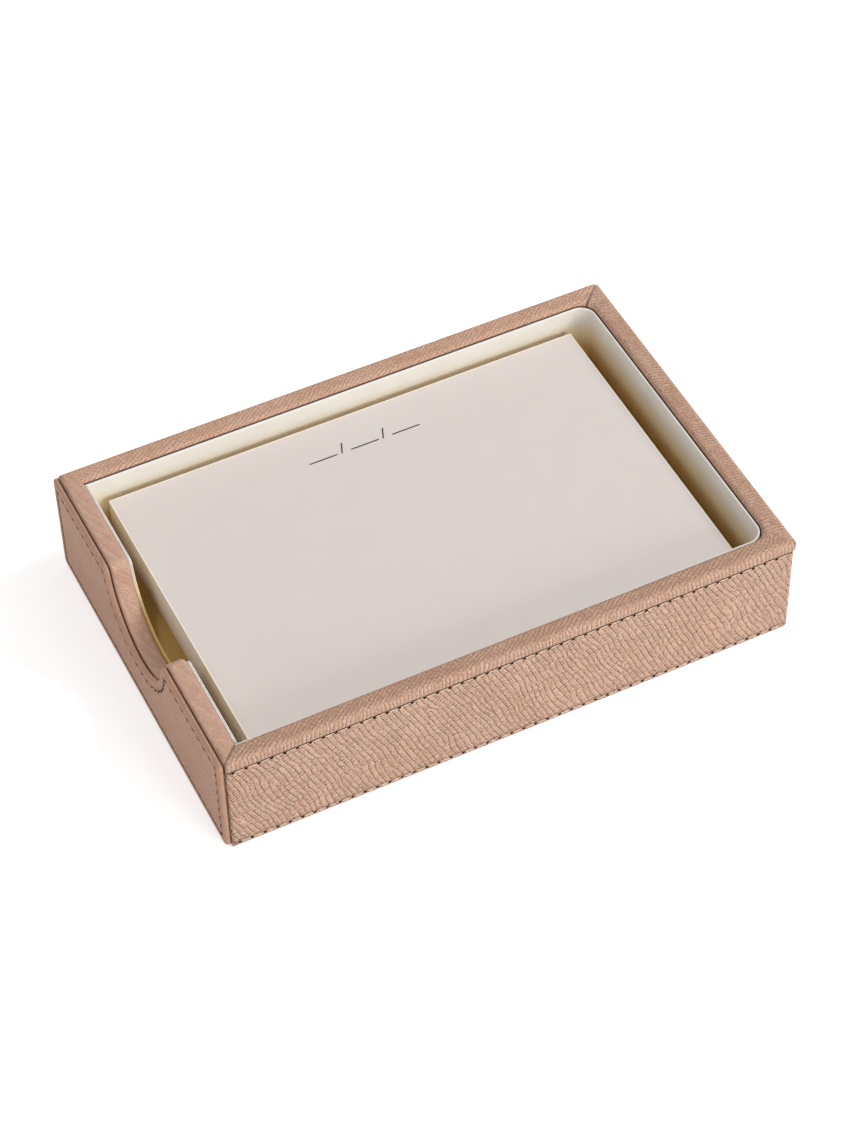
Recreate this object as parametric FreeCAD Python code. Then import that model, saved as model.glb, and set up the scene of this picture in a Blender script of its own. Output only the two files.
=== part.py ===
import FreeCAD, Part
import math
import os

# Leather memo holder: a lined tray of note sheets with a thumb notch in one end, over a shallow
# drawer whose full-height front closes that end. Millimetres. The origin is on the table under the
# middle. +X runs along the holder away from the notched end, +Y runs to the rear and +Z is up.

V = FreeCAD.Vector

# Note sheets, a 6 by 4 inch size, and the room round and above them in the tray.
sheet_length = 152.4
sheet_width = 101.6
sheet_thickness = 0.2
stack_height = 12.3
left_room = 4.8
right_room = 6.9
side_room = 2.4
head_room = 8.0

# Wall layers, from the outside in.
leather = 1.0
wall_board = 4.8
lining = 1.0

# Bottom layers, from the table up, with the drawer's space between base and shelf.
felt = 0.4
base_board = 2.6
drawer_space = 10.5
shelf_board = 2.0
floor_card = 1.0
felt_inset = 0.2

# Leather faces: the rounding of the wrapped corners and the seam's drop below the crown.
wrap_corner = 1.5
seam_drop = 4.1

# Rim leather: its two top roundings and how far it is turned down behind the lining.
rim_outer_round = 1.6
rim_inner_round = 1.5
turn_in = 9.0

# Lining: its drop below the crown and the bend in the two right-hand corners.
lining_drop = 1.2
lining_bend = 4.5

# Thumb notch in the left end: the rim's crown left above the tray's floor at its lowest point, and
# how much rounder its shoulders are than the rim's outer edge.
notch_sill = 1.5
shoulder_ease = 1.6

# Drawer front: a leather panel with a rolled edge over a stiffener, just below the crown.
panel = 1.4
panel_leather = 0.8
panel_gap = 0.3
panel_drop = 0.4
panel_lift = 0.4
panel_flat = 0.3
panel_foot_corner = 2.5
stiffener_inset = 2.2

# Drawer box behind its front, and its running clearances.
drawer_board = 2.5
drawer_bottom = 1.5
drawer_card = 0.8
drawer_lift = 0.2
drawer_top_gap = 0.6
drawer_side_gap = 0.5
drawer_end_gap = 1.5

# Stitching: thread bars lying flush in a sunk channel.
stitch_pitch = 3.8
stitch_length = 3.0
thread_width = 0.7
thread_height = 0.35
channel_width = 0.9
seam_margin = 0.7
foot_margin = 0.9
panel_margin = 3.0

# Heights, from the table up to the crown of the rim.
wall_foot = felt + base_board
shelf = wall_foot + drawer_space
shelf_top = shelf + shelf_board
floor = shelf_top + floor_card
stack_top = floor + stack_height
height = stack_top + sheet_thickness + head_room
seam = height - seam_drop

# Plan: the walls stand round the sheets, and the drawer front closes the left end.
rim_width = leather + wall_board
wall = rim_width + lining
half_width = sheet_width / 2 + side_room + wall
length = panel + panel_gap + wall + left_room + sheet_length + right_room + wall
right = length / 2
panel_face = -length / 2
panel_back = panel_face + panel
left = panel_back + panel_gap
stack_left = left + wall + left_room

# Notch and drawer, fitted to the floor and to the space under the shelf.
notch_radius = height - floor - notch_sill
notch_shoulder = rim_outer_round + shoulder_ease
panel_roll = panel - panel_flat
drawer_half = half_width - rim_width - drawer_side_gap
drawer_foot = wall_foot + drawer_lift
drawer_floor = drawer_foot + drawer_bottom
drawer_top = shelf - drawer_top_gap
drawer_end = right - rim_width - drawer_end_gap


def block(x0, x1, y0, y1, z0, z1):
    """Box between two corners."""
    return Part.makeBox(x1 - x0, y1 - y0, z1 - z0, V(x0, y0, z0))


def rounded(shape, radius, chosen):
    """Shape with a rounding on every edge whose box passes the test."""
    return shape.makeFillet(radius, [e for e in shape.Edges if chosen(e.BoundBox)])


def near(a, b):
    """True where two coordinates are the same plane."""
    return abs(a - b) < 1e-6


def plan_block(x0, inset, corner, z0, z1):
    """Block from x0 to the right-hand wall, inset from three faces, its right-hand corners rounded."""
    y = half_width - inset
    solid = block(x0, right - inset, -y, y, z0, z1)
    return rounded(solid, corner, lambda b: near(b.XMin, right - inset) and b.ZLength > 0.5 * (z1 - z0))


def end_slab(depth, half, foot, x0, x1):
    """Slab of the left end whose notched top line runs depth below the crown of the rim."""
    drop = max(depth, notch_shoulder)
    reach = notch_radius + drop
    shoulder_y = math.sqrt(reach ** 2 - drop ** 2)
    cut = notch_radius + depth
    top = height - depth

    def shoulder(sign):
        """Start, middle and end of the shoulder's arc, from the flat top into the notch."""
        centre = V(x0, sign * shoulder_y, height - drop)
        inwards = V(0, -sign * shoulder_y, drop) / reach
        middle = (inwards + V(0, 0, 1)).normalize()
        radius = drop - depth
        return centre + V(0, 0, radius), centre + middle * radius, centre + inwards * radius

    front_start, front_middle, front_end = shoulder(-1)
    rear_start, rear_middle, rear_end = shoulder(1)
    corners = [V(x0, half, top), V(x0, half, foot), V(x0, -half, foot), V(x0, -half, top)]
    edges = [Part.makeLine(a, b) for a, b in zip(corners, corners[1:])]
    edges.append(Part.makeLine(corners[-1], front_start))
    if drop > depth:
        edges.append(Part.Arc(front_start, front_middle, front_end).toShape())
    edges.append(Part.Arc(front_end, V(x0, 0, height - cut), rear_end).toShape())
    if drop > depth:
        edges.append(Part.Arc(rear_end, rear_middle, rear_start).toShape())
    edges.append(Part.makeLine(rear_start, corners[0]))
    return Part.Face(Part.Wire(edges)).extrude(V(x1 - x0, 0, 0))


def panel_slab(inset, x0, x1):
    """Slab with the drawer front's outline, inset all round, its two foot corners rounded."""
    foot = panel_lift + inset
    slab = end_slab(panel_drop + inset, half_width - inset, foot, x0, x1)
    return rounded(slab, max(panel_foot_corner - inset, thread_height),
                   lambda b: near(b.ZMax, foot) and near(b.YLength, 0) and near(b.ZLength, 0))


def mitre(corner_a, corner_b):
    """Prism over one side of the rim, cut at 45 degrees at both of its corners."""
    reach = 2 * rim_width
    middle_x = (left + right) / 2

    def inner(corner):
        """Point on the 45 degree line from an outer corner into the tray."""
        step_x = reach if corner[0] < middle_x else -reach
        step_y = reach if corner[1] < 0 else -reach
        return corner[0] + step_x, corner[1] + step_y

    plan = [corner_a, corner_b, inner(corner_b), inner(corner_a), corner_a]
    face = Part.Face(Part.makePolygon([V(x, y, 0) for x, y in plan]))
    return face.extrude(V(0, 0, height))


def make_front_board():
    """Front wall board, rebated inside for the turned-in rim leather and eased along its outer top edge."""
    y_out = -half_width + leather
    y_in = -half_width + rim_width
    top = height - leather
    solid = block(left + leather, right - leather, y_out, y_in, wall_foot, top)
    solid = rounded(solid, rim_outer_round - leather, lambda b: near(b.ZMin, top) and near(b.YMax, y_out))
    x0 = left + rim_width - leather
    x1 = right - rim_width + leather
    return solid.cut(block(x0, x1, y_in - leather, y_in, height - turn_in, top))


def make_right_board():
    """Right wall board between the long ones, rebated and eased like them."""
    x_out = right - leather
    x_in = right - rim_width
    y = half_width - rim_width
    top = height - leather
    solid = block(x_in, x_out, -y, y, wall_foot, top)
    solid = rounded(solid, rim_outer_round - leather, lambda b: near(b.ZMin, top) and near(b.XMin, x_out))
    return solid.cut(block(x_in, x_in + leather, -y, y, height - turn_in, top))


def make_left_board():
    """Notched left wall board above the drawer, standing on the shelf."""
    return end_slab(leather, half_width - rim_width, shelf_top, left + leather, left + rim_width - leather)


def make_shelf_board():
    """Shelf that carries the note sheets over the drawer."""
    y = half_width - rim_width
    return block(left + leather, right - rim_width, -y, y, shelf, shelf_top)


def make_wrap_space():
    """Square-cornered space of the leather faces, with short returns over the ends of the long boards."""
    outer = block(left, right, -half_width, half_width, felt, seam)
    inner_y = half_width - leather
    mouth_y = half_width - rim_width
    inner = block(left + leather, right - leather, -inner_y, inner_y, felt, seam)
    return outer.cut(inner).cut(block(left, left + leather, -mouth_y, mouth_y, felt, seam))


def make_wall_wrap():
    """One leather strip round the front, right and rear faces, with a stitch channel at its top and foot."""
    strip = make_wrap_space().common(plan_block(left, 0, wrap_corner, felt, seam))
    for z in (seam - seam_margin, felt + foot_margin):
        z0 = z - channel_width / 2
        z1 = z + channel_width / 2
        outer = plan_block(left, 0, wrap_corner, z0, z1)
        strip = strip.cut(outer.cut(plan_block(left, thread_height, wrap_corner - thread_height, z0, z1)))
    return strip


def make_panel_stiffener():
    """Thin board that keeps the drawer front flat, let into the back of its leather."""
    return panel_slab(stiffener_inset, panel_face + panel_leather, panel_back)


def make_end_panel():
    """Leather of the drawer front, rolled round its stiffener, with a stitch channel round its face."""
    solid = rounded(panel_slab(0, panel_face, panel_back), panel_roll, lambda b: near(b.XMax, panel_face))
    sunk = panel_face + thread_height
    outer = panel_slab(panel_margin - channel_width / 2, panel_face, sunk)
    solid = solid.cut(outer.cut(panel_slab(panel_margin + channel_width / 2, panel_face, sunk)))
    return solid.cut(make_panel_stiffener())


def make_drawer_side():
    """Side of the drawer box nearest the front face, on the drawer's bottom."""
    return block(panel_back, drawer_end, -drawer_half, -drawer_half + drawer_board, drawer_floor, drawer_top)


def make_drawer_cross(x0):
    """Board across the drawer box between its sides, starting at x0."""
    y = drawer_half - drawer_board
    return block(x0, x0 + drawer_board, -y, y, drawer_floor, drawer_top)


def make_drawer_bottom():
    """Bottom of the drawer box, running on the base board."""
    return block(panel_back, drawer_end, -drawer_half, drawer_half, drawer_foot, drawer_floor)


def make_drawer_lining():
    """Card lining the bottom of the drawer box inside its boards."""
    y = drawer_half - drawer_board
    return block(panel_back + drawer_board, drawer_end - drawer_board, -y, y,
                 drawer_floor, drawer_floor + drawer_card)


def make_straight_rims(carriers):
    """Front, right and rear rim leather: one rounded ring, mitred, with what it wraps cut out of it."""
    ring = block(left, right, -half_width, half_width, height - turn_in, height)
    ring = ring.cut(plan_block(left + rim_width, rim_width, lining_bend + lining, height - turn_in, height))

    def outside(b):
        """True for the four outer top edges."""
        on_side = near(b.XLength, 0) and (near(b.XMin, left) or near(b.XMin, right))
        on_long = near(b.YLength, 0) and near(abs(b.YMin), half_width)
        return near(b.ZMin, height) and (on_side or on_long)

    def inside(b):
        """True for the inner top edges."""
        return near(b.ZMin, height) and b.XMin > left + leather and b.XMax < right - leather \
            and max(abs(b.YMin), abs(b.YMax)) < half_width - leather

    ring = rounded(ring, rim_outer_round, outside)
    ring = rounded(ring, rim_inner_round, inside)
    front_left, front_right = (left, -half_width), (right, -half_width)
    rear_left, rear_right = (left, half_width), (right, half_width)
    sides = {"front_rim": (front_left, front_right), "right_rim": (front_right, rear_right),
             "rear_rim": (rear_right, rear_left)}
    return {name: ring.common(mitre(*corners)).cut(carriers) for name, corners in sides.items()}


def make_left_rim(carriers):
    """Rim leather over both faces of the notched board, mitred into the long sides."""
    inner_x = left + rim_width

    def on_top(b):
        """True for an edge of the notched top line, apart from the upright end edges and the foot."""
        return not near(b.ZMax, shelf) and not near(b.YLength, 0)

    blank = end_slab(0, half_width, shelf, left, inner_x)
    blank = rounded(blank, rim_outer_round, lambda b: near(b.XMax, left) and on_top(b))
    blank = rounded(blank, rim_inner_round, lambda b: near(b.XMin, inner_x) and on_top(b))
    return blank.common(mitre((left, -half_width), (left, half_width))).cut(carriers)


def make_wall_lining():
    """Lining of the front, right and rear walls, bent round the right-hand corners."""
    top = height - lining_drop
    x0 = left + rim_width
    ring = plan_block(x0, rim_width, lining_bend + lining, shelf_top, top)
    y = half_width - wall
    ring = ring.cut(plan_block(x0 + lining, wall, lining_bend, shelf_top, top))
    return ring.cut(block(x0, x0 + lining, -y, y, shelf_top, top))


def make_end_lining():
    """Lining of the notched wall, between the ends of the wall lining."""
    x0 = left + rim_width
    return end_slab(lining_drop, half_width - wall, shelf_top, x0, x0 + lining)


def stitch(middle, along, out):
    """One thread bar, flat below and domed outwards."""
    side = out.cross(along).normalize() * (thread_width / 2)
    start = middle - along * (stitch_length / 2)
    dome = Part.Arc(start - side, start + out * thread_height, start + side).toShape()
    face = Part.Face(Part.Wire([dome, Part.makeLine(start + side, start - side)]))
    return face.extrude(along * stitch_length)


def stitch_edge(edge, out):
    """Stitches spread evenly along one edge, at no less than the pitch."""
    count = int(edge.Length / stitch_pitch)
    bars = []
    for i in range(count):
        at = edge.getParameterByLength((i + 0.5) * edge.Length / count)
        bars.append(stitch(edge.valueAt(at), edge.tangentAt(at), out))
    return bars


def make_wrap_stitches(z):
    """Stitches along the front, right and rear faces at one height."""
    x_end = right - wrap_corner
    y_end = half_width - wrap_corner
    y_bed = half_width - thread_height
    x_bed = right - thread_height
    bars = stitch_edge(Part.makeLine(V(left, -y_bed, z), V(x_end, -y_bed, z)), V(0, -1, 0))
    bars += stitch_edge(Part.makeLine(V(x_bed, -y_end, z), V(x_bed, y_end, z)), V(1, 0, 0))
    bars += stitch_edge(Part.makeLine(V(x_end, y_bed, z), V(left, y_bed, z)), V(0, 1, 0))
    return Part.makeCompound(bars)


def make_panel_stitches():
    """Stitches round the drawer front, a steady margin in from its edge."""
    bed = panel_face + thread_height
    slab = panel_slab(panel_margin, bed, panel_back)
    outline = [f for f in slab.Faces if near(f.BoundBox.XMax, bed)][0].OuterWire
    bars = []
    for edge in outline.Edges:
        bars += stitch_edge(edge, V(-1, 0, 0))
    return Part.makeCompound(bars)


def make_base_felt():
    """Felt sheet under the bottom, set in a little from the faces."""
    return plan_block(left + felt_inset, felt_inset, wrap_corner - felt_inset, 0, felt)


def make_base_board():
    """Bottom board inside the leather faces, carrying the wall boards."""
    y = half_width - leather
    return block(left + leather, right - leather, -y, y, felt, wall_foot)


def make_sheets(z0, z1):
    """Block of note sheets between two heights."""
    return block(stack_left, stack_left + sheet_length, -sheet_width / 2, sheet_width / 2, z0, z1)


nodes = {}
nodes["base_felt"] = make_base_felt()
nodes["base_board"] = make_base_board()
nodes["front_board"] = make_front_board()
nodes["rear_board"] = nodes["front_board"].mirror(V(0, 0, 0), V(0, 1, 0))
nodes["right_board"] = make_right_board()
nodes["left_board"] = make_left_board()
nodes["shelf_board"] = make_shelf_board()
nodes["wall_wrap"] = make_wall_wrap()

wrapped = [nodes[side + "_board"] for side in ("front", "rear", "right", "left", "shelf")]
wrapped.append(make_wrap_space())
nodes.update(make_straight_rims(wrapped))
nodes["left_rim"] = make_left_rim(wrapped)

nodes["wall_lining"] = make_wall_lining()
nodes["end_lining"] = make_end_lining()
nodes["floor_lining"] = plan_block(left + wall, wall, lining_bend, shelf_top, floor)
nodes["rim_seam_stitches"] = make_wrap_stitches(seam - seam_margin)
nodes["base_seam_stitches"] = make_wrap_stitches(felt + foot_margin)

nodes["end_panel"] = make_end_panel()
nodes["panel_stiffener"] = make_panel_stiffener()
nodes["end_panel_stitches"] = make_panel_stitches()
nodes["drawer_front_side"] = make_drawer_side()
nodes["drawer_rear_side"] = nodes["drawer_front_side"].mirror(V(0, 0, 0), V(0, 1, 0))
nodes["drawer_head"] = make_drawer_cross(panel_back)
nodes["drawer_back"] = make_drawer_cross(drawer_end - drawer_board)
nodes["drawer_bottom"] = make_drawer_bottom()
nodes["drawer_lining"] = make_drawer_lining()

nodes["note_sheets"] = make_sheets(floor, stack_top)
nodes["top_sheet"] = make_sheets(stack_top, stack_top + sheet_thickness)

os.makedirs("parts", exist_ok=True)
for name, shape in nodes.items():
    shape.exportStep(os.path.join("parts", name + ".step"))
    print(name, len(shape.Solids), "solids", round(shape.Volume, 2), "mm3", shape.isValid())
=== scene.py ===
import math

import bmesh
import bpy
import numpy as np
from mathutils import Matrix, Vector


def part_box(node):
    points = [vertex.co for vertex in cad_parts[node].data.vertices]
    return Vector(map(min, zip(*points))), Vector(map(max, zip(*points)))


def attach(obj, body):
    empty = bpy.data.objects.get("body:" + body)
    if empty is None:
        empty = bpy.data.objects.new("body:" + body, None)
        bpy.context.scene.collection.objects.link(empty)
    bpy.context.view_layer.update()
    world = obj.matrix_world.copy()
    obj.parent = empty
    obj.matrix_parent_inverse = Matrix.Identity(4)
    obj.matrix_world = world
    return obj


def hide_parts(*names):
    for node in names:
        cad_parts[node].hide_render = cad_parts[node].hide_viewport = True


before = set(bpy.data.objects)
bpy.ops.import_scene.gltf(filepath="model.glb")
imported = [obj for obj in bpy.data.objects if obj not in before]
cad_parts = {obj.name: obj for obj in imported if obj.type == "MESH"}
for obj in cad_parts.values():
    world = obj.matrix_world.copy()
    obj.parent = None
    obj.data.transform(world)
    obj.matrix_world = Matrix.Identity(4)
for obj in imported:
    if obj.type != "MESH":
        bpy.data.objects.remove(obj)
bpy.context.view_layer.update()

# Base felt: a sheet of pressed wool felt, glued under the bottom so that the holder doesn't mark the
# desk. It is set in a little from the leather faces, and its pale edge shows along their foot.
MM = 0.001
cloud_mm = 12.0
felt_corner = 1.3
felt_ease = 0.12
board_sharp = math.radians(40)


def box_mm(node):
    """Lowest and highest corner of a CAD node, in millimetres."""
    low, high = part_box(node)
    return np.array(low) / MM, np.array(high) / MM


def linear(code):
    """Linear colour of an sRGB hex code."""
    values = [int(code[i:i + 2], 16) / 255 for i in (1, 3, 5)]
    return (*[v / 12.92 if v <= 0.04045 else ((v + 0.055) / 1.055) ** 2.4 for v in values], 1.0)


def add(tree, kind, settings, inputs):
    """Node of one kind with its settings; each input takes a plain value, or a socket or node to link."""
    node = tree.nodes.new(kind)
    for name, value in settings.items():
        setattr(node, name, value)
    for name, value in inputs.items():
        if isinstance(value, bpy.types.Node):
            value = value.outputs[0]
        if isinstance(value, bpy.types.NodeSocket):
            tree.links.new(value, node.inputs[name])
        else:
            node.inputs[name].default_value = value
    return node


def new_material(name, roughness, specular):
    """Material with its node tree and shader, whose even values are set on the shader's own sockets."""
    made = bpy.data.materials.new(name)
    made.use_nodes = True
    shader = made.node_tree.nodes["Principled BSDF"]
    shader.inputs["Roughness"].default_value = roughness
    shader.inputs["Specular IOR Level"].default_value = specular
    return made, made.node_tree, shader


def surface(tree, shader, colour, height, depth_mm):
    """Colour and relief of a shader; the full height of the relief is a depth in millimetres."""
    bump = add(tree, "ShaderNodeBump", {}, {"Height": height, "Distance": depth_mm * MM})
    tree.links.new(colour, shader.inputs["Base Color"])
    tree.links.new(bump.outputs["Normal"], shader.inputs["Normal"])


def two_tone(tree, factor, dark, light):
    """Colour between two hex codes."""
    mixed = add(tree, "ShaderNodeMix", {"data_type": "RGBA"}, {0: factor, 6: linear(dark), 7: linear(light)})
    return mixed.outputs[2]


def painted_by_height(tree, place, colour, painted_light_bands):
    """Colour drawn towards each band's hex code, between the heights in mm where it begins and is full; the
    bands are painted light and shade by height.
    """
    height = add(tree, "ShaderNodeSeparateXYZ", {}, {"Vector": place}).outputs["Z"]
    for code, begins, full in painted_light_bands:
        reach = add(tree, "ShaderNodeMapRange", {"interpolation_type": "SMOOTHSTEP"},
                    {"Value": height, "From Min": begins * MM, "From Max": full * MM})
        mixed = add(tree, "ShaderNodeMix", {"data_type": "RGBA"}, {0: reach, 6: colour, 7: linear(code)})
        colour = mixed.outputs[2]
    return colour


def nap_material(name, dark, light, fibre_mm, depth_mm, sheen, painted_light_bands):
    """Felt, suede or card: short fibres that scatter light, so it is matt, mottled and soft at its edges."""
    made, tree, shader = new_material(name, 0.95, 0.15)
    place = add(tree, "ShaderNodeTexCoord", {}, {}).outputs["Object"]
    fibres = add(tree, "ShaderNodeTexNoise", {},
                 {"Vector": place, "Scale": 1 / (fibre_mm * MM), "Detail": 4.0})
    clouds = add(tree, "ShaderNodeTexNoise", {},
                 {"Vector": place, "Scale": 1 / (cloud_mm * MM), "Detail": 2.0})
    both = add(tree, "ShaderNodeMix", {"data_type": "FLOAT"}, {0: 0.45, 2: fibres, 3: clouds})
    spread = add(tree, "ShaderNodeMapRange", {}, {"Value": both, "From Min": 0.3, "From Max": 0.7})
    colour = painted_by_height(tree, place, two_tone(tree, spread, dark, light), painted_light_bands)
    surface(tree, shader, colour, fibres, depth_mm)
    shader.inputs["Sheen Weight"].default_value = sheen
    shader.inputs["Sheen Roughness"].default_value = 0.6
    return made


def new_object(name, mesh, *materials):
    """Object of one mesh at the origin, with its materials."""
    made = bpy.data.objects.new(name, mesh)
    for material in materials:
        mesh.materials.append(material)
    bpy.context.scene.collection.objects.link(made)
    return made


def slab(name, low, high, corner, rounding, material):
    """Board or sheet between two corners in millimetres, with rounded right-hand corners and eased edges."""
    low, high = np.array(low), np.array(high)
    shape = bmesh.new()
    bmesh.ops.create_cube(shape, size=1.0)
    middle = (low + high) / 2
    for vert in shape.verts:
        vert.co = Vector((middle + np.array(vert.co) * (high - low)) * MM)
    upright = [edge for edge in shape.edges if min(vert.co.x for vert in edge.verts) > middle[0] * MM
               and edge.verts[0].co.y == edge.verts[1].co.y]
    if corner:
        bmesh.ops.bevel(shape, geom=upright, offset=corner * MM, segments=6, affect="EDGES", profile=0.5)
    bmesh.ops.bevel(shape, geom=shape.edges[:], offset=rounding * MM, segments=3, affect="EDGES", profile=0.5)
    bmesh.ops.recalc_face_normals(shape, faces=shape.faces[:])
    mesh = bpy.data.meshes.new(name)
    shape.to_mesh(mesh)
    shape.free()
    mesh.shade_smooth()
    mesh.set_sharp_from_angle(angle=board_sharp)
    return new_object(name, mesh, material)


def fit(piece, body, slot, *nodes):
    """Piece riding on its body in place of its CAD nodes; the slot is not used."""
    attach(piece, body)
    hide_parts(*nodes)


# Wool felt looks soft and cloudy, with a pale rim of fibres where its edge turns from the light.
wool_felt = nap_material("pressed wool felt", "#C4B6AE", "#DCD0C9", 0.5, 0.08, 0.3, [])
felt_low, felt_high = box_mm("base_felt")
fit(slab("felt_sheet", felt_low, felt_high, felt_corner, felt_ease, wool_felt), "holder", "felt", "base_felt")

# Boards: plain medium fibreboard, sawn and glued, which carries the leather and the lining. It shows
# only inside the drawer's mouth, as the floor, the roof and the cheeks of the drawer's space.
flake_mm = 0.9
wood_fibre_mm = 0.4
flake_depth = 0.05


def fibreboard_material():
    """Pressed wood fibre: matt tan with small darker and paler flakes lying flat in it."""
    made, tree, shader = new_material("medium fibreboard", 0.85, 0.25)
    place = add(tree, "ShaderNodeTexCoord", {}, {}).outputs["Object"]
    flakes = add(tree, "ShaderNodeTexVoronoi", {}, {"Vector": place, "Scale": 1 / (flake_mm * MM)})
    grain = add(tree, "ShaderNodeTexNoise", {},
                {"Vector": place, "Scale": 1 / (wood_fibre_mm * MM), "Detail": 5.0})
    both = add(tree, "ShaderNodeMix", {"data_type": "FLOAT"}, {0: 0.5, 2: flakes.outputs["Color"], 3: grain})
    surface(tree, shader, two_tone(tree, both, "#8A6E50", "#C9AC88"), both, flake_depth)
    return made


def dress(node, material):
    """CAD node that stays as it is, with a finer material."""
    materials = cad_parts[node].data.materials
    materials.clear()
    materials.append(material)


fibreboard = fibreboard_material()
for name in ("base", "front", "rear", "right", "left", "shelf"):
    dress(name + "_board", fibreboard)
dress("panel_stiffener", fibreboard)

# Wall wrap: one strip of cross-grained leather glued round the front, right and rear faces, with
# short returns over the left ends. A stitched groove runs along its top and another along its foot.
wrap_low, wrap_high = box_mm("wall_wrap")
leather_mm = 1.0
wrap_corner = 1.5
return_corner = 1.2
groove_depth = 0.28
groove_half = 0.45
groove_shade = 0.95
foot_shade = 0.55
foot_shade_rise = 0.3
rim_shade = 0.8
rim_shade_band = 0.2
edge_round = 0.4
path_step = 2.0
weld = 0.002
fold_sharp = math.radians(50)
pore_mm = 0.7
blotch_mm = 16.0
everywhere = (-99, -98)
rim_wide = 5.8
seam_row = box_mm("rim_seam_stitches")
foot_row = box_mm("base_seam_stitches")
seam_z = (seam_row[0][2] + seam_row[1][2]) / 2
foot_z = (foot_row[0][2] + foot_row[1][2]) / 2


def rounded_path(corners, radii, step):
    """Points and outward normals along straight faces joined by quarter arcs that turn left."""
    points, normals = [], []
    at = np.array(corners[0], float)
    for i in range(1, len(corners)):
        along = np.array(corners[i], float) - np.array(corners[i - 1], float)
        along /= np.linalg.norm(along)
        out = np.array([along[1], -along[0]])
        radius = radii[i - 1] if i - 1 < len(radii) else 0.0
        end = np.array(corners[i], float) - along * radius
        count = max(2, int(np.linalg.norm(end - at) / step))
        for share in np.linspace(0, 1, count + 1)[(1 if points else 0):]:
            points.append(at + (end - at) * share)
            normals.append(out)
        if radius:
            centre = end - out * radius
            for angle in np.linspace(0, math.pi / 2, 9)[1:]:
                turned = out * math.cos(angle) + along * math.sin(angle)
                points.append(centre + turned * radius)
                normals.append(turned)
            at = points[-1]
    return np.array(points), np.array(normals)


def running_length(points):
    """Length along a row of points, from its start."""
    steps = np.linalg.norm(np.diff(points, axis=0), axis=1)
    return np.concatenate([[0.0], np.cumsum(steps)])


def skin(name, grid, flat, seam, material):
    """Closed mesh over a grid of points in millimetres: each row is one section, and the ends are capped.
    flat is each point's place on the flat leather, and seam marks where colour is painted: shade on the
    leather, a highlight on the top sheet."""
    rows, columns, _ = grid.shape
    index = np.arange(rows * columns).reshape(rows, columns)
    faces = []
    for i in range(rows - 1):
        for j in range(columns):
            k = (j + 1) % columns
            faces.append((index[i, j], index[i + 1, j], index[i + 1, k], index[i, k]))
    faces.append(tuple(index[0]))
    faces.append(tuple(index[-1][::-1]))
    mesh = bpy.data.meshes.new(name)
    mesh.from_pydata((grid.reshape(-1, 3) * MM).tolist(), [], faces)
    corners = np.zeros(len(mesh.loops), np.int32)
    mesh.loops.foreach_get("vertex_index", corners)
    spread = mesh.uv_layers.new(name="grain")
    spread.data.foreach_set("uv", (flat.reshape(-1, 2)[corners] * MM).astype(np.float32).ravel())
    painted_marks = mesh.attributes.new("seam", "FLOAT", "POINT")
    painted_marks.data.foreach_set("value", seam.astype(np.float32).ravel())
    shape = bmesh.new()
    shape.from_mesh(mesh)
    bmesh.ops.remove_doubles(shape, verts=shape.verts[:], dist=weld * MM)
    caps = [face for face in shape.faces if len(face.verts) > 4]
    bmesh.ops.triangulate(shape, faces=caps, ngon_method="EAR_CLIP")
    bmesh.ops.recalc_face_normals(shape, faces=shape.faces[:])
    shape.to_mesh(mesh)
    shape.free()
    mesh.shade_smooth()
    mesh.set_sharp_from_angle(angle=fold_sharp)
    return new_object(name, mesh, material)


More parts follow.
